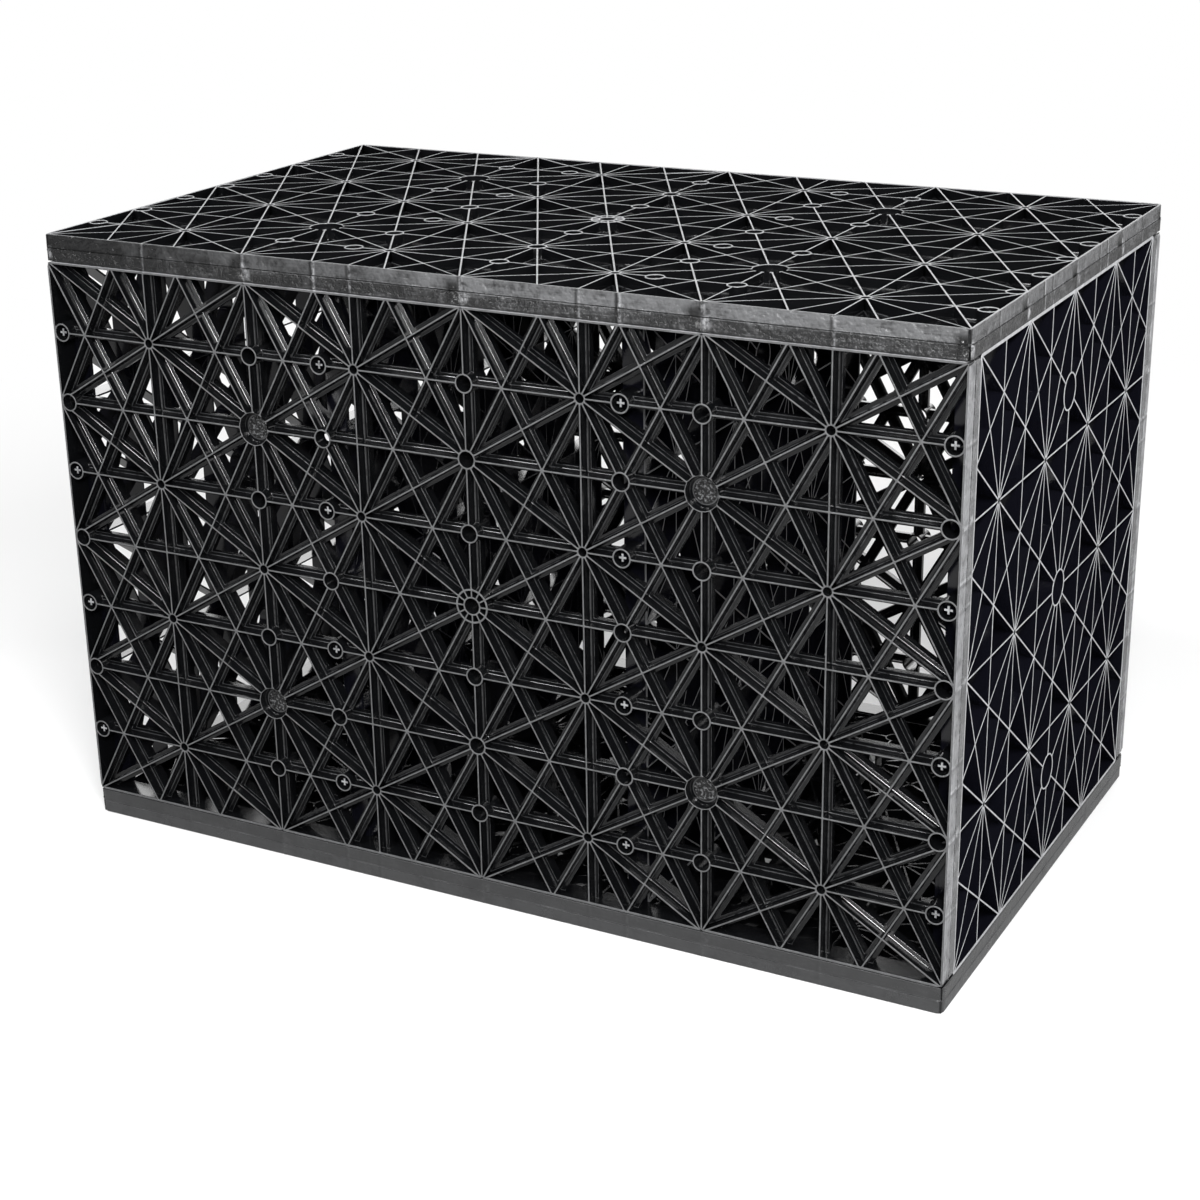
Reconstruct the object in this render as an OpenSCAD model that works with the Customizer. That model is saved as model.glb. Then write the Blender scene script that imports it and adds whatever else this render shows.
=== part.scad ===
// Soakaway crate: four large rib plates and four small ones, held together by snap pins.
// X runs along the crate, Y across it and Z up from the ground. All sizes are in millimetres.

/* [Crate size] */
// length over the large plates
length = 685; // [600:1:760]
// width over the side plates
width = 408; // [370:1:450]
// height over the top and bottom plates
height = 450; // [410:1:500]

/* [Large plates] */
// depth of a large plate from its inner to its outer face
plate_depth = 19; // [17:0.5:22]
// thickness of the wall round every plate
wall = 2.4; // [1.8:0.1:3]
// radius of a large plate's four corners
corner_r = 5; // [3:0.5:6.5]
// step in the wall where the two mould halves part
parting_step = 0.4; // [0.2:0.05:0.7]
// width of a rib's thin blade
blade_w = 1.5; // [1.2:0.1:2]
// width of the flange that stiffens a rib halfway down its depth
flange_w = 8; // [6:0.5:9]
// thickness of that flange
flange_t = 4; // [3:0.5:5]

/* [Hubs of the large plates] */
// outer diameter of the small ring at a star hub, where twelve ribs meet
star_d = 8.4; // [7.6:0.1:9.6]
// hole through a star hub
star_hole_d = 5.6; // [4.6:0.1:6]
// outer diameter of a pin ring
ring_d = 13.8; // [13:0.1:14.6]
// hole through a pin ring
ring_hole_d = 10.8; // [10.6:0.1:10.9]
// outer diameter of the four round bosses
boss_d = 25; // [22:0.1:28]
// width of the raised rim round a boss
boss_rim = 1.2; // [1:0.1:2]
// depth from the outer face down to a boss's floor
boss_recess = 6; // [4:0.1:6.6]
// thickness of a boss's floor
boss_floor = 2.2; // [1.6:0.1:2.8]
// outer diameter of the spoked wheel in the middle of the plate
wheel_d = 25.2; // [23:0.1:28]
// width of the wheel's outer rim
wheel_rim = 1.8; // [1.2:0.1:2.4]
// width of a wheel spoke
spoke_w = 1.5; // [1:0.1:2]
// number of wheel spokes
spokes = 12; // [8:1:14]

/* [Small plates] */
// depth of an end or partition plate
small_depth = 15; // [13:0.5:16]
// distance from the crate's end to an end plate's outer face
end_recess = 0.4; // [0.4:0.1:2]
// width of a small plate's ribs
small_rib_w = 1.4; // [1.2:0.1:2.2]
// hole through a star hub on a small plate
small_star_hole_d = 3.4; // [2.4:0.1:4]
// outer diameter of the three large openings' rims
port_d = 26.4; // [24:0.1:30]
// width of the rim round a large opening
port_rim = 1.4; // [1.2:0.1:2.4]

/* [Snap pins] */
// diameter of a pin's round shank
pin_d = 10.2; // [9.4:0.1:10.2]
// length of the round shank
shank_len = 10.5; // [8:0.1:12]
// distance that a pin's tip stays behind the outer face
tip_recess = 1.5; // [0.8:0.1:3]
// width over the cross at the pin's tip
cross_w = 5.6; // [4.4:0.1:7]
// thickness of the cross's two blades
cross_t = 1.6; // [1.2:0.1:2]

/* [Hidden] */
$fn = 40;
half_depth = plate_depth / 2;
small_half = small_depth / 2;
// how deep a large rib's blade is on either side of its flange
blade_depth = (plate_depth - flange_t) / 2;
// number of grid steps along and across a large plate, and up and across a small one
long_steps = 8;
cross_steps = 8;
small_rows = 4;
side_height = height - 2 * plate_depth;
small_width = width - 2 * plate_depth;
ring_inset = end_recess + small_depth / 2;
pin_rows = [1, 3, 5, 7];
ring_rows = [1 : cross_steps - 1];
// the grid column of the partition plates is a third of the way along
third = long_steps / 3;
partition_x = length / 6;
// how far one piece of a moulding runs into the next
root = 1;

// The place of grid line i out of n over a plate that is size long.
function grid(i, n, size) = i * size / n;

// A straight rib between two points.
module rib(from, to, w) {
    run = to - from;
    translate(from)
        rotate(atan2(run.y, run.x))
            translate([0, -w / 2])
                square([norm(run), w]);
}

// A rectangle with round corners.
module round_rect(size, r) {
    translate([0, r])
        square([size.x, size.y - 2 * r]);
    translate([r, 0])
        square([size.x - 2 * r, size.y]);
    for (x = [r, size.x - r], y = [r, size.y - r])
        translate([x, y])
            circle(r);
}

// Ribs on every grid line, with two families of slanted ribs: one steps a row for each column,
// the other three rows. They all cross where column and row are both even or both odd.
module rib_web(size, columns, rows, w) {
    function at(c, r) = [grid(c, columns, size.x), grid(r, rows, size.y)];
    intersection() {
        translate([wall / 2, wall / 2])
            square([size.x - wall, size.y - wall]);
        union() {
            for (c = [1 : columns - 1])
                rib(at(c, 0), at(c, rows), w);
            for (r = [1 : rows - 1])
                rib(at(0, r), at(columns, r), w);
            for (climb = [1, 3], low = [2 - climb * columns : 2 : rows - 2]) {
                from = max(0, -low / climb);
                to = min(columns, (rows - low) / climb);
                rib(at(from, low + climb * from), at(to, low + climb * to), w);
                rib(at(columns - from, low + climb * from), at(columns - to, low + climb * to), w);
            }
        }
    }
}

// The wall round a plate, set back by inset.
module wall_band(size, r, inset) {
    difference() {
        translate([inset, inset])
            round_rect(size - 2 * [inset, inset], r - inset);
        translate([wall, wall])
            square(size - 2 * [wall, wall]);
    }
}

// Where the features of a large plate sit, as [column, row] on its grid.
star_spots = concat([for (c = [1, 3, 5, 7], r = [1, 3, 5, 7]) [c, r]], [[2, 4], [6, 4]]);
plain_ring_spots = concat([for (c = [2, 4, 6], r = pin_rows) [c, r]], [[4, 2], [4, 6]]);
boss_spots = [for (c = [2, 6], r = [2, 6]) [c, r]];
wheel_spots = [[4, 4]];

module at_spots(spots, size) {
    for (s = spots)
        translate([grid(s.x, long_steps, size.x), grid(s.y, cross_steps, size.y)])
            children();
}

// The pin rings stand over the end plates and the partitions. Every row has one, but only the rows
// with pins need the long tube behind it.
module at_pin_rings(size, rows) {
    columns = [ring_inset, grid(third, long_steps, size.x),
               grid(2 * third, long_steps, size.x), size.x - ring_inset];
    for (x = columns, r = rows)
        translate([x, grid(r, cross_steps, size.y)])
            children();
}

// The wheel's inner ring and spokes.
module wheel_core() {
    difference() {
        union() {
            circle(d = ring_d);
            for (i = [0 : spokes - 1])
                rotate(i * 360 / spokes)
                    translate([0, -spoke_w / 2])
                        square([wheel_d / 2 - wheel_rim / 2, spoke_w]);
        }
        circle(d = ring_hole_d);
    }
}

// The outlines of a large plate's rings and wheel, with pin rings on the given rows.
module rounds(size, rows) {
    at_spots(plain_ring_spots, size)
        circle(d = ring_d);
    at_pin_rings(size, rows)
        circle(d = ring_d);
    at_spots(wheel_spots, size)
        circle(d = wheel_d);
}

// The holes through a large plate's hubs, rings, bosses and wheel.
module round_holes(size) {
    at_spots(star_spots, size)
        circle(d = star_hole_d);
    at_spots(plain_ring_spots, size)
        circle(d = ring_hole_d);
    at_pin_rings(size, ring_rows)
        circle(d = ring_hole_d);
    at_spots(boss_spots, size)
        circle(d = boss_d - 2 * boss_rim);
    at_spots(wheel_spots, size)
        circle(d = wheel_d - 2 * wheel_rim);
}

// A layer of a large plate's web, with its rings, wheel, star hubs and bosses.
module web_layer(size, rib_w) {
    difference() {
        union() {
            rib_web(size, long_steps, cross_steps, rib_w);
            rounds(size, ring_rows);
            at_spots(star_spots, size)
                circle(d = star_d);
            at_spots(boss_spots, size)
                circle(d = boss_d);
        }
        round_holes(size);
    }
}

// The tubes that run on behind the flanges to the inner face.
module tube_layer(size) {
    difference() {
        rounds(size, pin_rows);
        round_holes(size);
    }
}

// The large moulding, with its inner face on Z = 0 and its outer face up: a T-shaped rib section,
// with its flange at the height where the two mould halves part.
module large_plate(size) {
    linear_extrude(half_depth)
        wall_band(size, corner_r, 0);
    translate([0, 0, half_depth])
        linear_extrude(half_depth)
            wall_band(size, corner_r, parting_step);
    linear_extrude(blade_depth)
        tube_layer(size);
    translate([0, 0, blade_depth])
        linear_extrude(flange_t)
            web_layer(size, flange_w);
    translate([0, 0, blade_depth + flange_t])
        linear_extrude(blade_depth)
            web_layer(size, blade_w);
    translate([0, 0, plate_depth - boss_recess - boss_floor])
        linear_extrude(boss_floor)
            at_spots(boss_spots, size)
                circle(d = boss_d - boss_rim);
    linear_extrude(plate_depth)
        at_spots(wheel_spots, size)
            wheel_core();
}

small_size = [small_width, side_height];
small_star_spots = concat([for (r = [1, 3], k = [1, 3, 5, 7]) [k, r]], [[2, 2], [6, 2]]);
port_spots = [[4, 2 - 4 / 3], [4, 2], [4, 2 + 4 / 3]];

module at_small(spots) {
    for (s = spots)
        translate([grid(s.x, cross_steps, small_size.x), grid(s.y, small_rows, small_size.y)])
            children();
}

// A small plate's outline: the same web as a large plate's, turned a quarter turn.
module small_web() {
    difference() {
        union() {
            wall_band(small_size, wall, 0);
            mirror([1, -1])
                rib_web([small_size.y, small_size.x], small_rows, cross_steps, small_rib_w);
            at_small(port_spots)
                circle(d = port_d);
        }
        at_small(small_star_spots)
            circle(d = small_star_hole_d);
        at_small(port_spots)
            circle(d = port_d - 2 * port_rim);
    }
}

// A snap pin that points along +Z from a plate's edge: a round shank with a cross-shaped tip.
module snap_pin() {
    tip_end = plate_depth - tip_recess;
    translate([0, 0, -wall / 2])
        cylinder(d = pin_d, h = shank_len + wall / 2);
    translate([0, 0, shank_len - root])
        for (turn = [0, 90])
            rotate(turn)
                translate([-cross_w / 2, -cross_t / 2, 0])
                    cube([cross_w, cross_t, tip_end - shank_len + root]);
}

// The small moulding, with its inner face on Z = 0, and its pins on all four edges.
module small_plate() {
    linear_extrude(small_depth)
        small_web();
    for (r = pin_rows) {
        up = grid(r, cross_steps, side_height);
        across = grid(r, cross_steps, width) - plate_depth;
        translate([small_width, up, small_half])
            rotate([0, 90, 0])
                snap_pin();
        translate([0, up, small_half])
            rotate([0, -90, 0])
                snap_pin();
        translate([across, side_height, small_half])
            rotate([-90, 0, 0])
                snap_pin();
        translate([across, 0, small_half])
            rotate([90, 0, 0])
                snap_pin();
    }
}

// A small plate stood across the crate, its inner face on X = 0 and its outer face towards +X.
module standing_small_plate() {
    translate([0, -small_width / 2, plate_depth])
        rotate([90, 0, 90])
            small_plate();
}

module top_plate() {
    color("#3a3b3d")
        translate([-length / 2, -width / 2, height - plate_depth])
            large_plate([length, width]);
}

module bottom_plate() {
    color("#333436")
        translate([-length / 2, width / 2, plate_depth])
            rotate([180, 0, 0])
                large_plate([length, width]);
}

module front_side_plate() {
    color("#2c2d2f")
        translate([-length / 2, plate_depth - width / 2, plate_depth])
            rotate([90, 0, 0])
                large_plate([length, side_height]);
}

// The back plate is the front moulding turned half a turn about Z.
module back_side_plate() {
    rotate([0, 0, 180])
        front_side_plate();
}

module right_end_plate() {
    color("#26272b")
        translate([length / 2 - end_recess - small_depth, 0, 0])
            standing_small_plate();
}

module left_end_plate() {
    rotate([0, 0, 180])
        right_end_plate();
}

module right_partition() {
    color("#222327")
        translate([partition_x - small_depth / 2, 0, 0])
            standing_small_plate();
}

module left_partition() {
    rotate([0, 0, 180])
        right_partition();
}

top_plate();
bottom_plate();
front_side_plate();
back_side_plate();
right_end_plate();
left_end_plate();
right_partition();
left_partition();
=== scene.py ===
# %% [markdown]
# # A soakaway crate, moulded in black plastic
# The real crate is an open box of rib-lattice plates that lies buried under a garden and holds rain
# until the ground drinks it. The engineering model already has every plate, rib, ring and pin in its
# place, so this script keeps those shapes and gives them what a solid model lacks: softened edges,
# the finish of black plastic, light and a camera. The model is loaded as a fixed frame, in metres.

# %% Load the frame
import math
import bpy
from mathutils import Matrix, Vector


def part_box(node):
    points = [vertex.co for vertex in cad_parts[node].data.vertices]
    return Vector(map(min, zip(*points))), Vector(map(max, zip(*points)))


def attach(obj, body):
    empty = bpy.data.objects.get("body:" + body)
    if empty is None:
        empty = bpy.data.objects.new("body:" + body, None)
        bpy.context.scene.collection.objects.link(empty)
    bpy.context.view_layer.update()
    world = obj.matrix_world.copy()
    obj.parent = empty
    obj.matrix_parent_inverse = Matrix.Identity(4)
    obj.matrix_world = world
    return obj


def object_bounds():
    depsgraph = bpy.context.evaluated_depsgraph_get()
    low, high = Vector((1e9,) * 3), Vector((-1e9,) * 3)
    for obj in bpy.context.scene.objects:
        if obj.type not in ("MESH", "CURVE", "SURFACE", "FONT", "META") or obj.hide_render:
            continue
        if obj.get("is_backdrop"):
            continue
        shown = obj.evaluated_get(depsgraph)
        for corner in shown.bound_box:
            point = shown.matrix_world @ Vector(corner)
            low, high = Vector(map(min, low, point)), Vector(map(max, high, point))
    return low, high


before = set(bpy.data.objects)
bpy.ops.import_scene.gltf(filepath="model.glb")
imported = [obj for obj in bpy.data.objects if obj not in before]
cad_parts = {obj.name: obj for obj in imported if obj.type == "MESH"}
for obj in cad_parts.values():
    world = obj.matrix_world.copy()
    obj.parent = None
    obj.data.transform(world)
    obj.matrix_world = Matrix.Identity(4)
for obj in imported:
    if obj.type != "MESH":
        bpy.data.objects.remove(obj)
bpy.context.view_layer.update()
MM = 0.001

# %% [markdown]
# ## The camera
# The camera stands right of the crate's front and a little above its top, so it sees the front, the
# top and the right end. Its place, turn and focal length were solved from the crate's corners in the
# picture. A small shift stands for the crop, which isn't centred on the lens.

# %% Camera
CAMERA_PLACE = Vector((0.7593, -1.4367, 0.7702))
LOOK_ROUND, LOOK_UP, TILT = (math.radians(a) for a in (118.7992, -21.2780, -1.1555))
PICTURE = 1200
FOCAL_PIXELS = 2294.16
AXIS_PIXEL = (578.28, 629.18)
SENSOR = 36.0


def aim(place, forward, tilt):
    """The world matrix of a camera or lamp that looks along forward."""
    side = forward.cross(Vector((0, 0, 1))).normalized()
    up = side.cross(forward)
    turned_side = side * math.cos(tilt) + up * math.sin(tilt)
    turned_up = up * math.cos(tilt) - side * math.sin(tilt)
    turn = Matrix((turned_side, turned_up, -forward)).transposed().to_4x4()
    return Matrix.Translation(place) @ turn


lens = bpy.data.cameras.new("camera")
lens.sensor_width = SENSOR
lens.lens = FOCAL_PIXELS * SENSOR / PICTURE
lens.shift_x = (PICTURE / 2 - AXIS_PIXEL[0]) / PICTURE
lens.shift_y = (AXIS_PIXEL[1] - PICTURE / 2) / PICTURE
camera = bpy.data.objects.new("camera", lens)
bpy.context.scene.collection.objects.link(camera)
looking = Vector((math.cos(LOOK_UP) * math.cos(LOOK_ROUND),
                  math.cos(LOOK_UP) * math.sin(LOOK_ROUND), math.sin(LOOK_UP)))
camera.matrix_world = aim(CAMERA_PLACE, looking, TILT)
bpy.context.scene.camera = camera
bpy.context.scene.view_settings.view_transform = "Standard"
print("lens, mm:", round(lens.lens, 2), "shift:", round(lens.shift_x, 4), round(lens.shift_y, 4))

# %% [markdown]
# ## Shader sums written as Python
# A finish is mostly arithmetic on masks: where is the outer face, where is dust, how rough is it.
# Wired by hand such sums are a thicket of nodes, so one small class wraps a socket, and Python's own
# operators add the Math nodes. Any other node comes from its `node` method.

# %% A socket that can be used in sums


class Sock:
    """One output of a material's node tree, which +, -, * and the methods below build on."""

    def __init__(self, tree, socket):
        self.tree, self.socket = tree, socket

    def node(self, kind, settings=None, values=None, out=0):
        """Adds any node: its settings first, then the values or links of its inputs."""
        made = self.tree.nodes.new(kind)
        for key, value in (settings or {}).items():
            setattr(made, key, value)
        for key, value in (values or {}).items():
            if isinstance(value, Sock):
                self.tree.links.new(value.socket, made.inputs[key])
            elif value is not None:
                made.inputs[key].default_value = value
        return Sock(self.tree, made.outputs[out])

    def math(self, operation, *terms, clamp=False):
        values = dict(enumerate(terms))
        return self.node("ShaderNodeMath", {"operation": operation, "use_clamp": clamp}, values)

    def __add__(self, other): return self.math("ADD", self, other)
    def __radd__(self, other): return self.math("ADD", other, self)
    def __sub__(self, other): return self.math("SUBTRACT", self, other)
    def __rsub__(self, other): return self.math("SUBTRACT", other, self)
    def __mul__(self, other): return self.math("MULTIPLY", self, other)
    def __rmul__(self, other): return self.math("MULTIPLY", other, self)
    def __abs__(self): return self.math("ABSOLUTE", self)

    def max(self, other): return self.math("MAXIMUM", self, other)

    def sized(self):
        """The same value, kept between 0 and 1."""
        return self.math("ADD", self, 0.0, clamp=True)

    def ramp(self, low, high):
        """0 below low and 1 above high, with a smooth step between; high may be the lower one."""
        return self.node("ShaderNodeMapRange", {"interpolation_type": "SMOOTHSTEP"},
                         {"Value": self, "From Min": low, "From Max": high})

    def part(self, axis):
        return self.node("ShaderNodeSeparateXYZ", values={0: self}, out=axis)

    def noise(self, size, detail=2.0, roughness=0.5, stretch=(1, 1, 1)):
        """Noise from 0 to 1 whose blots are about size metres across."""
        place = self.node("ShaderNodeVectorMath", {"operation": "MULTIPLY"}, {0: self, 1: stretch})
        return self.node("ShaderNodeTexNoise",
                         values={"Vector": place, "Scale": 1 / size, "Detail": detail,
                                 "Roughness": roughness})

    def blend(self, low, high):
        """A colour that goes from low to high as this mask goes from 0 to 1."""
        mixed = self.tree.nodes.new("ShaderNodeMix")
        mixed.data_type = "RGBA"
        # A Mix node has the sockets of every data type; these are the ones for colours.
        factor, first, second = (mixed.inputs[k] for k in (0, 6, 7))
        for socket, value in ((factor, self), (first, low), (second, high)):
            if isinstance(value, Sock):
                self.tree.links.new(value.socket, socket)
            else:
                socket.default_value = (*value, 1)
        return Sock(self.tree, mixed.outputs[2])


def new_material(name):
    """A material with a bare Principled shader, its tree's coordinates and that shader."""
    material = bpy.data.materials.new(name)
    material.use_nodes = True
    tree = material.node_tree
    shader = tree.nodes["Principled BSDF"]
    coordinates = tree.nodes.new("ShaderNodeTexCoord")
    return (material, Sock(tree, coordinates.outputs["Object"]),
            Sock(tree, coordinates.outputs["Normal"]), shader)


def feed(shader, name, value):
    """Links a sum to one of the shader's inputs, or sets a plain value on it."""
    if isinstance(value, Sock):
        value.tree.links.new(value.socket, shader.inputs[name])
    else:
        shader.inputs[name].default_value = value


# %% [markdown]
# ## Black plastic, plate by plate
# Every plate is one injection moulding in black polypropylene. Such plastic is not one black: the
# ribs' outer edges are painted grey, partly for the wear of sand and pallets and partly as a painted
# sheen, while the flanks between them stay glossy and nearly black. Two facts tell which is which: how
# deep a point lies under the plate's outer face, and which way it faces. Both are sums on the object's
# own coordinates, so no image is painted. The same two facts find the rounded edges of the flanges,
# which lie halfway down and face half sideways; pale lines on them are partly wear and partly painted
# highlights.
# Depths are in millimetres here, as the bumps and marks of the next cells are.

# %% Where the edges are
LENGTH, WIDTH, HEIGHT, DEEP = 0.685, 0.408, 0.450, 0.019
STEPS = 8
FLANGE_EDGE = 1.7


def rib_edges(place, normal, low, high, axis, outward):
    """The depth in mm below the outer face, and masks of the outer and of the flanges' edges."""
    face = high[axis] if outward > 0 else low[axis]
    half_deep = (high[axis] - low[axis]) / MM / 2
    depth = (face - place.part(axis)) * (outward / MM)
    facing = normal.part(axis) * outward
    outer = facing.ramp(0.25, 0.8) * depth.ramp(0.9, 0.3)
    half_turned = facing.ramp(0.2, 0.4) * facing.ramp(0.95, 0.75)
    at_flange = abs(depth - (half_deep - FLANGE_EDGE)).ramp(0.9, 0.6)
    return depth, facing, outer, half_turned * at_flange


print("grid step of the top plate, mm:", [round(side / STEPS / MM, 1) for side in (LENGTH, WIDTH)])

# %% [markdown]
# The wall round a large plate is the biggest plain surface, so it shows how the part was moulded. Ribs
# meet it from behind, and where they do, the thicker plastic shrinks and pulls a narrow sink mark into
# the wall; at every second grid line six ribs meet and the mark is a broad pinched dimple. Beside each
# mark a painted shade darkens one side and a painted highlight lightens the other, as light falls
# across the dent. The distance to the nearest grid line is a Ping-Pong node, which folds a coordinate
# back and forth like a ruler.

# %% Sink marks on the wall round a large plate
PARTING = DEEP / MM / 2


def wall_marks(run, step, depth):
    """Sink marks at the grid lines: their height in mm, and masks of a painted highlight and shade."""
    def line(shift, wide, gap=step):
        """A thin mark down the wall at every grid line, shift mm beside it and wide mm to each side."""
        return run.math("PINGPONG", run + shift * MM, gap / 2).ramp(wide * MM, 0)

    def blot(shift, wide, level, high):
        """A round mark at every second grid line, level mm down and high mm up and down from there."""
        near = run.math("PINGPONG", run + shift * MM, step).ramp(wide * MM, wide * 0.2 * MM)
        return near * abs(depth - level).ramp(high, high * 0.3)

    third = step * STEPS / 3
    height = line(0, 1.5) * 0.4 + line(0, 1.5, third) * 0.4 + blot(0, 7, PARTING, 8) * 2.2
    # One side of each mark gets a painted highlight.
    pale = (line(-1, 1.5) * 0.5).max(line(-1, 1.8, third))
    pale = pale.max(blot(-3, 4.5, 12.5, 6)).max(blot(-0.8, 2.2, 6, 7))
    # The other side gets a painted shade.
    sink_shade = (line(1.2, 2) * 0.8).max(line(1.2, 2.4, third)).max(blot(5, 9, 10, 10))
    return height, pale, sink_shade


print("the mould's halves part at a depth of", round(PARTING, 2), "mm")

# %% [markdown]
# Between the marks the skin is wavy and, on the lower mould half, pitted, and handling leaves streaks
# along it. The half of the wall nearer the outer face is painted a little lighter, which is painted
# light. A pale line runs round the wall where the mould's halves met; it is partly painted light that
# lifts the shadow of the parting step. On the top plate the wall is painted darker towards its left
# end, a painted shade. The skin is worked out once for the two long walls and once for the two short
# ones, and a mask lays it on the outside only.

# %% The skin of the wall
SKIN_FROM, SKIN_FULL = 1.3 * MM, 0.9 * MM


def shade(colour, times):
    return [channel * times for channel in colour]


def wall_skin(place, normal, low, high, axis, depth, dark, light, mottle, left_painted_shade):
    """Mask, colour and bump height in mm of the outside of a large plate's wall."""
    waves = place.noise(16 * MM, 3, 0.6)
    flow = place.noise(4 * MM, 4, 0.7)
    mask, dents, pale, sink_shade, streaks = 0.0, 0.0, 0.0, 0.0, 0.0
    for side in [a for a in range(3) if a != axis]:
        along = 3 - side - axis
        middle, half = (high[side] + low[side]) / 2, (high[side] - low[side]) / 2
        outside = abs(place.part(side) - middle).ramp(half - SKIN_FROM, half - SKIN_FULL)
        outside = outside * abs(normal.part(side)).ramp(0.05, 0.2).max(depth.ramp(2, 4))
        run = place.part(along) - low[along] + (flow - 0.5) * (1.5 * MM)
        marks = wall_marks(run, (high[along] - low[along]) / STEPS, depth)
        stretch = [0.04 if a == along else 1 for a in range(3)]
        mask = outside + mask
        dents, pale, sink_shade = (outside * m + total for m, total in zip(marks, (dents, pale, sink_shade)))
        streaks = outside * place.noise(1.4 * MM, 3, 0.6, stretch) + streaks
    lower_half = depth.ramp(PARTING - 0.5, PARTING + 1)
    painted_light_half = depth.ramp(PARTING + 1, PARTING - 0.5)
    pits = place.noise(1.5 * MM, 2, 0.5).ramp(0.35, 0.6) * lower_half
    height = waves * (4 * mottle) + flow * (0.9 * mottle) + pits * (0.22 * mottle) - dents * mottle
    # Painted shade: on the top plate the wall is painted darker towards its left end; on every plate
    # random patches darken it too.
    patches_and_painted_shade = (left_painted_shade * (place.part(0) * 3.2 + 0.9) + (1 - left_painted_shade) + waves - 0.5).sized()
    # The half of the wall nearer the outer face is painted lighter, which is painted light.
    tone = (0.4 * waves + 0.3 * flow + 0.3 * streaks + 0.16 * painted_light_half).ramp(0.46, 0.72)
    # The parting line is painted pale, partly as painted light that lifts the shadow of the step there;
    # random worn blots join it below.
    seam_and_painted_light = abs(depth - PARTING).ramp(1.1, 0.3) * (0.4 + streaks.ramp(0.45, 0.6))
    wear_and_painted_light = (place.noise(2.2 * MM, 4, 0.75).ramp(0.6, 0.72) * (0.5 * mottle)).max(seam_and_painted_light * 0.6)
    colour = wear_and_painted_light.blend(tone.blend(dark, light), shade(light, 2.2))
    colour = patches_and_painted_shade.blend(shade(dark, 0.7), colour)
    # Painted shade and painted highlight beside the sink marks.
    colour = (sink_shade * (0.95 * mottle)).blend(colour, shade(dark, 0.4))
    colour = (pale * flow.ramp(0.35, 0.6) * (0.8 * mottle)).blend(colour, shade(light, 3.0))
    return mask.sized(), colour, height * mask


# %% [markdown]
# Four round bosses of a large plate have a sunk floor with a plain round pad in the middle, which is
# rough from the mould. Its glints are painted as pale specks, and a fine ring round it is raised a
# little by bump and painted pale as a highlight. They stand two grid steps from the plate's edges, so
# Ping-Pong nodes that fold each side in four find all of them at once.

# %% The sunk floors of the round bosses
FLOOR_DEPTH = 6
PAD_RADIUS, RING_RADIUS = 8.4 * MM, 8.6 * MM


def boss_floors(place, low, high, axis, depth, facing):
    """Masks of the round pads on the four sunk floors, and of the fine ring round each pad."""
    spread = 0.0
    for side in [a for a in range(3) if a != axis]:
        quarter = (high[side] - low[side]) / 4
        run = place.part(side) - low[side]
        off = quarter - run.math("PINGPONG", run, quarter)
        spread = off * off + spread
    from_middle = spread.math("SQRT", spread)
    floor = abs(depth - FLOOR_DEPTH).ramp(0.6, 0.3) * facing.sized()
    pad = from_middle.ramp(PAD_RADIUS, PAD_RADIUS - 0.6 * MM)
    ring = abs(from_middle - RING_RADIUS).ramp(0.8 * MM, 0.3 * MM)
    return floor * pad, floor * ring


print("pads, mm across:", round(2 * PAD_RADIUS / MM, 1))

# %% [markdown]
# The whole finish adds fine grain and a slow change of gloss. Sand leaves short pale scuffs on the
# edges, which are a noise cut off high, so that only its peaks show. A small plate's wall is hidden
# between the large ones, but the tips of its snap pins reach almost to the crate's outside and are
# rubbed pale there.

# %% The finish of a plate
WEB = (0.004, 0.0042, 0.0048)
BLUE_WEB = (0.0045, 0.0046, 0.0075)
SCUFF = (0.36, 0.36, 0.37)
# Pale lines on the flanges' rounded edges, partly wear and partly painted highlights.
FLANGE_WEAR_AND_HIGHLIGHT = (0.065, 0.066, 0.069)
GLOSSY, EDGE_ROUGHER = 0.11, 0.34
TIP_FROM, TIP_FULL = 2.2 * MM, 1.7 * MM


def grey(level):
    return level, level * 1.01, level * 1.04


# The pad's dark floor, and the pale of its painted glints.
PAD_DARK, PAD_GLINT = grey(0.012), grey(0.13)
TIP_DARK, TIP_PALE = grey(0.12), grey(0.32)


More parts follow.
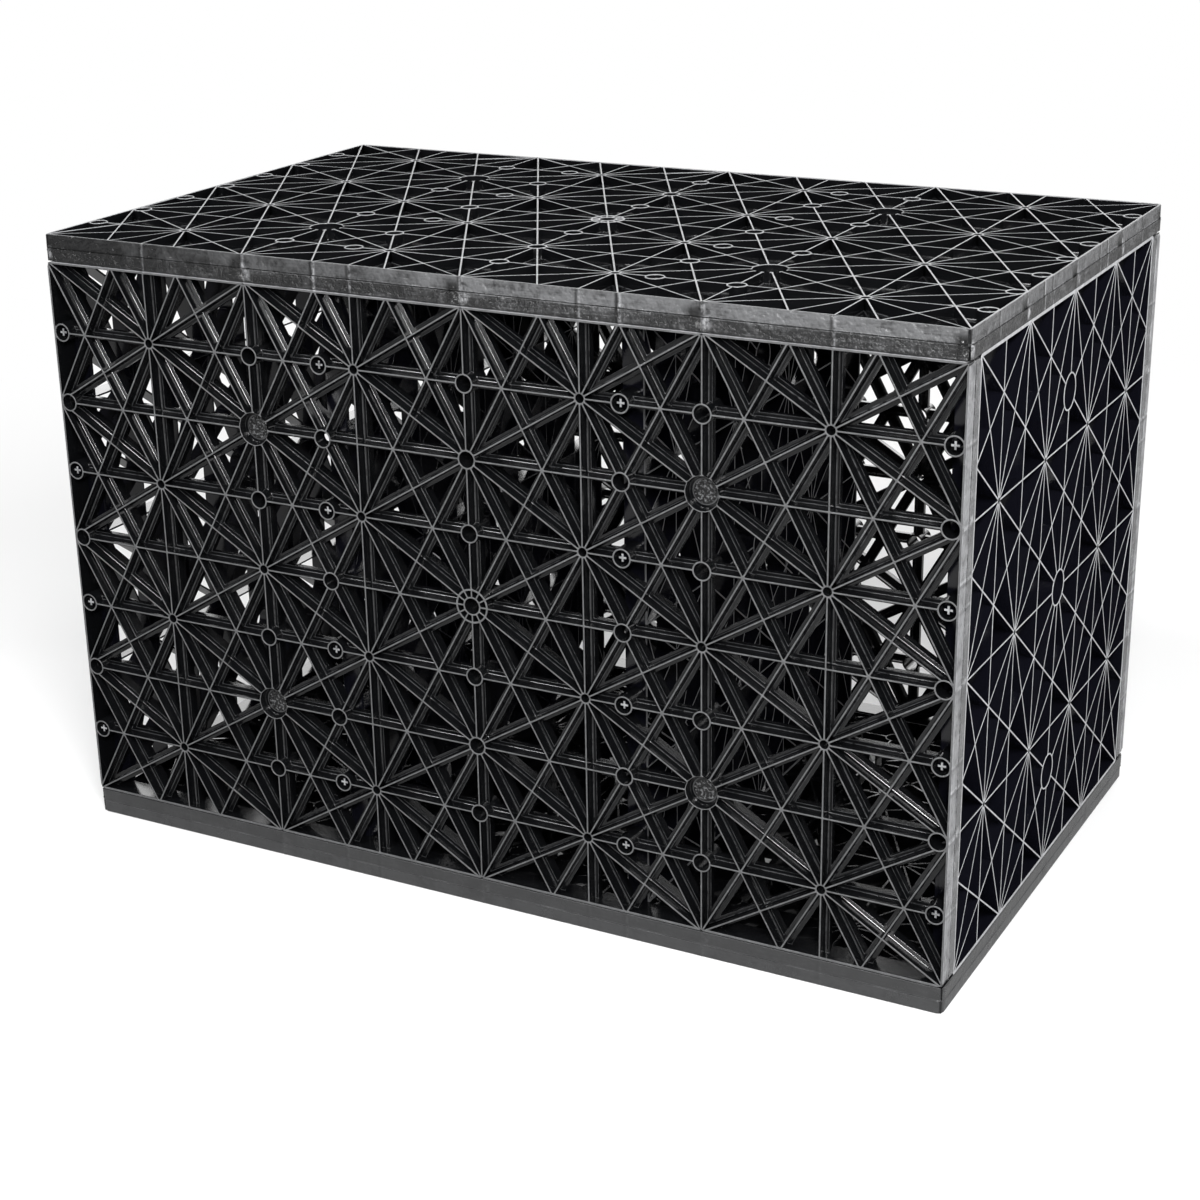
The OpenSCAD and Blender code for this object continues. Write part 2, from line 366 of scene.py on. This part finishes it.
def crate_plastic(name, low, high, axis, outward, edge, wall=None):
    """The finish of one plate: paler on the ribs' outer edges, dark between them."""
    material, place, normal, shader = new_material(name)
    depth, facing, outer, flange_edge = rib_edges(place, normal, low, high, axis, outward)
    grain = place.noise(0.6 * MM, 3, 0.6)
    patches = place.noise(42 * MM, 3, 0.55)
    rubs = place.noise(5 * MM, 4, 0.65)
    scuffs = place.noise(1.6 * MM, 3, 0.7).ramp(0.6, 0.72)
    # The ribs' outer edges take the plate's edge grey: partly wear, partly a painted sheen.
    tone = outer.blend(WEB if wall else BLUE_WEB, edge)
    tone = (outer * rubs.ramp(0.35, 0.75) * 0.6).blend(tone, shade(edge, 1.8))
    tone = (outer * scuffs * 0.5).blend(tone, SCUFF)
    # The flanges' rounded edges get pale lines: partly wear, partly painted highlights.
    tone = (flange_edge * rubs.ramp(0.3, 0.6)).blend(tone, FLANGE_WEAR_AND_HIGHLIGHT)
    rough = GLOSSY + 0.08 * patches + 0.03 * grain + EDGE_ROUGHER * outer
    height = grain * 0.008 + place.noise(7 * MM, 2) * 0.06
    if wall:
        mask, colour, dents = wall_skin(place, normal, low, high, axis, depth, *wall)
        tone = mask.blend(tone, colour)
        pads, ring_bump_and_highlight = boss_floors(place, low, high, axis, depth, facing)
        speckle = place.noise(2 * MM, 3, 0.6)
        # The pad's pale specks are painted glints, and the ring round it is painted pale as a highlight
        # over a small bump.
        tone = pads.blend(tone, speckle.ramp(0.5, 0.62).blend(PAD_DARK, PAD_GLINT))
        tone = (ring_bump_and_highlight * 0.8).blend(tone, edge)
        rough = rough + 0.1 * mask + 0.06 * pads
        height = height + dents + pads * (0.5 + speckle * 1.2) + ring_bump_and_highlight * 0.5
    else:
        at_sides = abs(place.part(1)).ramp(WIDTH / 2 - TIP_FROM, WIDTH / 2 - TIP_FULL)
        from_centre = abs(place.part(2) - HEIGHT / 2)
        tips = at_sides.max(from_centre.ramp(HEIGHT / 2 - TIP_FROM, HEIGHT / 2 - TIP_FULL))
        tone = tips.blend(tone, rubs.ramp(0.35, 0.65).blend(TIP_DARK, TIP_PALE))
    feed(shader, "Base Color", tone)
    feed(shader, "Roughness", rough.sized())
    bump = place.node("ShaderNodeBump", values={"Height": height, "Strength": 1.0, "Distance": MM})
    feed(shader, "Normal", bump)
    return material


# %% [markdown]
# The plates don't look alike, and part of that is painted light. The top plate and the end plates get
# paler edges than the others, which paints in the stronger light that falls on them. The top plate's
# wall is mottled most and painted darker towards its left end, a painted shade, and the bottom one is
# clean and even. Each plate's row names the axis that it faces, the grey of its edges and, on the
# large ones, the darkest and palest grey of its wall, how mottled it is and how strongly it is painted
# darker towards its left end. Real moulded edges are rounded too, so every plate gets a Weld and a
# narrow Bevel. The bevel's faces are marked as weak ones, and a Weighted Normal modifier then lets the
# big faces keep their own shading, so only the narrow ones curve. All three are modifiers, which leave
# the engineering mesh as it is.

# %% Plates and their finishes
LARGE_BEVEL, SMALL_BEVEL = 0.6 * MM, 0.4 * MM
# Painted light in these rows: the top and end plates' edge greys are paler to paint in the stronger
# light on them, and the top plate's last number paints its wall darker towards the left end.
PLATES = {
    "top_plate": (2, 1, 0.23, (grey(0.018), grey(0.125), 1.0, 1.0)),
    "bottom_plate": (2, -1, 0.10, (grey(0.04), grey(0.052), 0.15, 0.0)),
    "front_side_plate": (1, -1, 0.09, (grey(0.11), grey(0.26), 0.5, 0.0)),
    "back_side_plate": (1, 1, 0.09, (grey(0.11), grey(0.26), 0.5, 0.0)),
    "right_end_plate": (0, 1, 0.34, None),
    "left_end_plate": (0, -1, 0.34, None),
    "right_partition": (0, 1, 0.09, None),
    "left_partition": (0, -1, 0.09, None),
}
finishes = {}
for name, (axis, outward, edge, wall) in PLATES.items():
    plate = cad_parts[name]
    low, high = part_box(name)
    finishes[name] = crate_plastic("plastic_" + name, low, high, axis, outward, grey(edge), wall)
    plate.data.materials.clear()
    plate.data.materials.append(finishes[name])
    weld = plate.modifiers.new("joined", "WELD")
    weld.merge_threshold = 0.01 * MM
    soft = plate.modifiers.new("soft_edges", "BEVEL")
    soft.width = LARGE_BEVEL if wall else SMALL_BEVEL
    soft.segments = 1
    soft.use_clamp_overlap = False
    soft.limit_method = "ANGLE"
    soft.angle_limit = math.radians(35)
    soft.harden_normals = True
    soft.face_strength_mode = "FSTR_ALL"
    even = plate.modifiers.new("even_walls", "WEIGHTED_NORMAL")
    even.use_face_influence = True
print("finished plates:", len(finishes))

# %% [markdown]
# ## Every rib of a large plate, once more
# Two things that ride along the ribs would make the engineering model's files too big: the blade on
# the inner side of the flange, and the small fillet where a blade grows out of its flange, which is
# what makes the bright double lines on the real crate. They are cheap as plain strips of faces. Both
# follow the same lines, so those are worked out once: the grid's ribs, each cut into the stretches
# between the hubs that it meets.

# %% The rib lines of a large plate
import bmesh

WALL = 2.4 * MM
BLADE = 1.5 * MM
BLADE_DEPTH = 7.5 * MM
BURIED = 0.3 * MM
PIN_INSET = 7.9 * MM / LENGTH * STEPS
PIN_COLUMNS = (PIN_INSET, STEPS / 3, 2 * STEPS / 3, STEPS - PIN_INSET)
RING_R, STAR_R, BOSS_R, WHEEL_R = 6.9 * MM, 4.2 * MM, 12.5 * MM, 12.6 * MM
HUBS = ([(c, r, STAR_R) for c in (1, 3, 5, 7) for r in (1, 3, 5, 7)]
        + [(c, 4, STAR_R) for c in (2, 6)]
        + [(c, r, RING_R) for c in (2, 4, 6) for r in (1, 3, 5, 7)]
        + [(4, r, RING_R) for r in (2, 6)]
        + [(c, r, RING_R) for c in PIN_COLUMNS for r in range(1, STEPS)]
        + [(c, r, BOSS_R) for c in (2, 6) for r in (2, 6)]
        + [(4, 4, WHEEL_R)])


def rib_lines():
    """Both ends of every rib, as (column, row) on the plate's grid."""
    for n in range(1, STEPS):
        yield (n, 0), (n, STEPS)
        yield (0, n), (STEPS, n)
    for climb in (1, 3):
        for low in range(2 - climb * STEPS, STEPS - 1, 2):
            start = max(0, -low / climb)
            stop = min(STEPS, (STEPS - low) / climb)
            for mirror in (False, True):
                yield tuple((STEPS - c if mirror else c, low + climb * c) for c in (start, stop))


def stretches(start, stop, hubs):
    """The parts of a rib, as shares of its length, that lie outside every hub it meets."""
    run = stop - start
    length = run.length
    gaps = []
    for middle, radius in hubs:
        along = (middle - start).dot(run) / length
        off = ((middle - start) - run * (along / length)).length
        if off < radius - BLADE / 2:
            half = math.sqrt(radius ** 2 - off ** 2) - BURIED
            gaps.append(((along - half) / length, (along + half) / length))
    done = 0.0
    for low, high in sorted(gaps):
        if low > done:
            yield done, low
        done = max(done, high)
    if done < 1:
        yield done, 1.0


print("ribs on a large plate:", sum(1 for _ in rib_lines()))

# %% [markdown]
# A strip is a flat profile pushed along one stretch. Its points are given as (sideways, outward) from
# the middle of the rib and the plate's inner face, so one function makes blades and fillets alike.
# Each strip is sunk a little into what it grows from, so that no slit of light shows between them.

# %% Strips along the ribs
ROUND = 1.6 * MM
SUNK = 0.02 * MM
FLANGE_TOP = 11.5 * MM
ARC = [math.radians(a) for a in (0, 30, 60, 90)]
FOOT = [(BLADE / 2 - SUNK + ROUND * (1 - math.cos(a)),
         FLANGE_TOP - SUNK + ROUND * (1 - math.sin(a))) for a in ARC]
LEFT_FOOT = [(-sideways, level) for sideways, level in reversed(FOOT)]
INNER_BLADE = [(-BLADE / 2, BLADE_DEPTH + BURIED), (-BLADE / 2, 0),
               (BLADE / 2, 0), (BLADE / 2, BLADE_DEPTH + BURIED)]


def rib_strips(name, profiles, origin, u, v, w, across):
    """Strips with the given profiles along all ribs of one plate; w points outward."""
    scale = Vector((LENGTH / STEPS, across / STEPS))
    hubs = [(Vector((c, r)) * scale, radius) for c, r, radius in HUBS]
    mesh = bmesh.new()
    for ends in rib_lines():
        start, stop = (Vector(end) * scale for end in ends)
        run = stop - start
        aside = Vector((-run.y, run.x)).normalized()
        for shares in stretches(start, stop, hubs):
            for profile in profiles:
                rows = []
                for share in shares:
                    row = []
                    for sideways, level in profile:
                        spot = start + run * share + aside * sideways
                        spot.x = min(max(spot.x, WALL / 2), LENGTH - WALL / 2)
                        spot.y = min(max(spot.y, WALL / 2), across - WALL / 2)
                        row.append(mesh.verts.new(origin + u * spot.x + v * spot.y + w * level))
                    rows.append(row)
                for k in range(len(profile) - 1):
                    face = mesh.faces.new((rows[0][k], rows[0][k + 1], rows[1][k + 1], rows[1][k]))
                    face.smooth = profile is not INNER_BLADE
    data = bpy.data.meshes.new(name)
    mesh.to_mesh(data)
    mesh.free()
    strips = bpy.data.objects.new(name, data)
    bpy.context.scene.collection.objects.link(strips)
    return strips


X, Y, Z = Vector((1, 0, 0)), Vector((0, 1, 0)), Vector((0, 0, 1))
SIDE = HEIGHT - 2 * DEEP
LARGE = {
    "top_plate": (Vector((-LENGTH / 2, -WIDTH / 2, HEIGHT - DEEP)), X, Y, Z, WIDTH),
    "bottom_plate": (Vector((LENGTH / 2, -WIDTH / 2, DEEP)), -X, Y, -Z, WIDTH),
    "front_side_plate": (Vector((-LENGTH / 2, DEEP - WIDTH / 2, DEEP)), X, Z, -Y, SIDE),
    "back_side_plate": (Vector((LENGTH / 2, WIDTH / 2 - DEEP, DEEP)), -X, Z, Y, SIDE),
}
for plate, plane in LARGE.items():
    for part, profiles in (("inner_blades", [INNER_BLADE]), ("rib_fillets", [FOOT, LEFT_FOOT])):
        strips = rib_strips(plate.replace("plate", part), profiles, *plane)
        strips.data.materials.append(finishes[plate])
        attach(strips, "root")
        print(strips.name, len(strips.data.polygons), "faces")

# %% [markdown]
# ## Floor, lamps and background
# The crate stands on pale paper. The camera sees the paper fade into pure white away from the crate,
# which Light Path's Is Camera Ray does without throwing more light on the object, and near the crate
# the paper keeps the shadow. To every other ray the paper is a mid grey, so that it doesn't light the
# crate's inside from below. Black plastic shows mostly what it reflects, so the lamps are placed by
# reflection: each stands where the camera sees it mirrored in one family of edges. Three lamps in
# front draw the bright lines along the slanted and the level ribs, two behind light the ribs' tops,
# and one on the right lights the end plate.

# %% Floor, light and background
ROOM_LIGHT = 0.05
FLOOR_HALF = 20.0
FLOOR_DROP = 0.3 * MM
PALE_PAPER, MID_GREY = (0.9, 0.9, 0.9), (0.4, 0.4, 0.4)


def stage_floor():
    """A wide pale floor that is pure white to the camera away from the crate."""
    mesh = bpy.data.meshes.new("floor")
    corners = [(x * FLOOR_HALF, y * FLOOR_HALF, 0) for x, y in ((-1, -1), (1, -1), (1, 1), (-1, 1))]
    mesh.from_pydata(corners, [], [(0, 1, 2, 3)])
    floor = bpy.data.objects.new("floor", mesh)
    floor.location.z = -FLOOR_DROP
    bpy.context.scene.collection.objects.link(floor)
    material, place, _, shader = new_material("floor_paper")
    away = place.node("ShaderNodeVectorMath", {"operation": "LENGTH"}, {0: place}, out=1)
    white = place.node("ShaderNodeEmission", values={"Color": (1, 1, 1, 1), "Strength": 1.0})
    seen = place.node("ShaderNodeLightPath")
    feed(shader, "Base Color", seen.blend(MID_GREY, PALE_PAPER))
    feed(shader, "Roughness", 0.9)
    feed(shader, "Specular IOR Level", 0.0)
    paper = Sock(place.tree, shader.outputs[0])
    mixed = place.node("ShaderNodeMixShader",
                       values={0: seen * (0.1 + 0.9 * away.ramp(0.5, 1.5)), 1: paper, 2: white})
    place.tree.links.new(mixed.socket, place.tree.nodes["Material Output"].inputs["Surface"])
    mesh.materials.append(material)
    floor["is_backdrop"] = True


def softbox(name, place, target, size, power, tilt=0):
    """A soft lamp that the camera doesn't see."""
    lamp = bpy.data.lights.new(name, "AREA")
    lamp.shape = "RECTANGLE"
    lamp.size, lamp.size_y = size
    lamp.energy = power
    box = bpy.data.objects.new(name, lamp)
    bpy.context.scene.collection.objects.link(box)
    place = Vector(place)
    box.matrix_world = aim(place, (Vector(target) - place).normalized(), math.radians(tilt))
    box.visible_camera = False


stage_floor()
world = bpy.data.worlds.new("studio")
world.use_nodes = True
tree = world.node_tree
background = tree.nodes["Background"]
background.inputs["Color"].default_value = (1, 1, 1, 1)
seen = Sock(tree, tree.nodes.new("ShaderNodeLightPath").outputs["Is Camera Ray"])
strength = seen * (1 - ROOM_LIGHT) + ROOM_LIGHT
tree.links.new(strength.socket, background.inputs["Strength"])
bpy.context.scene.world = world
MIDDLE = Vector((0, 0, 0.25))
softbox("behind_right", (0.9, 2.6, 1.7), MIDDLE, (2.6, 1.3), 26)
softbox("behind", (-1.3, 3.4, 1.45), MIDDLE, (4.2, 1.5), 65)
softbox("right", (2.3, 0.6, 1.1), MIDDLE, (1.7, 1.5), 42)
softbox("right_of_camera", (0.98, -1.51, 1.27), MIDDLE, (0.9, 0.28), 46, tilt=45)
softbox("high_front", (-0.17, -1.25, 2.09), MIDDLE, (0.3, 0.6), 23)
softbox("left_front", (-1.0, -1.4, 1.6), MIDDLE, (0.35, 0.4), 14)

# %% [markdown]
# ## Sizes
# The rounded edges and the strips should not make the crate visibly bigger, so the box round the
# finished crate is measured.

# %% Sizes
low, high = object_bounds()
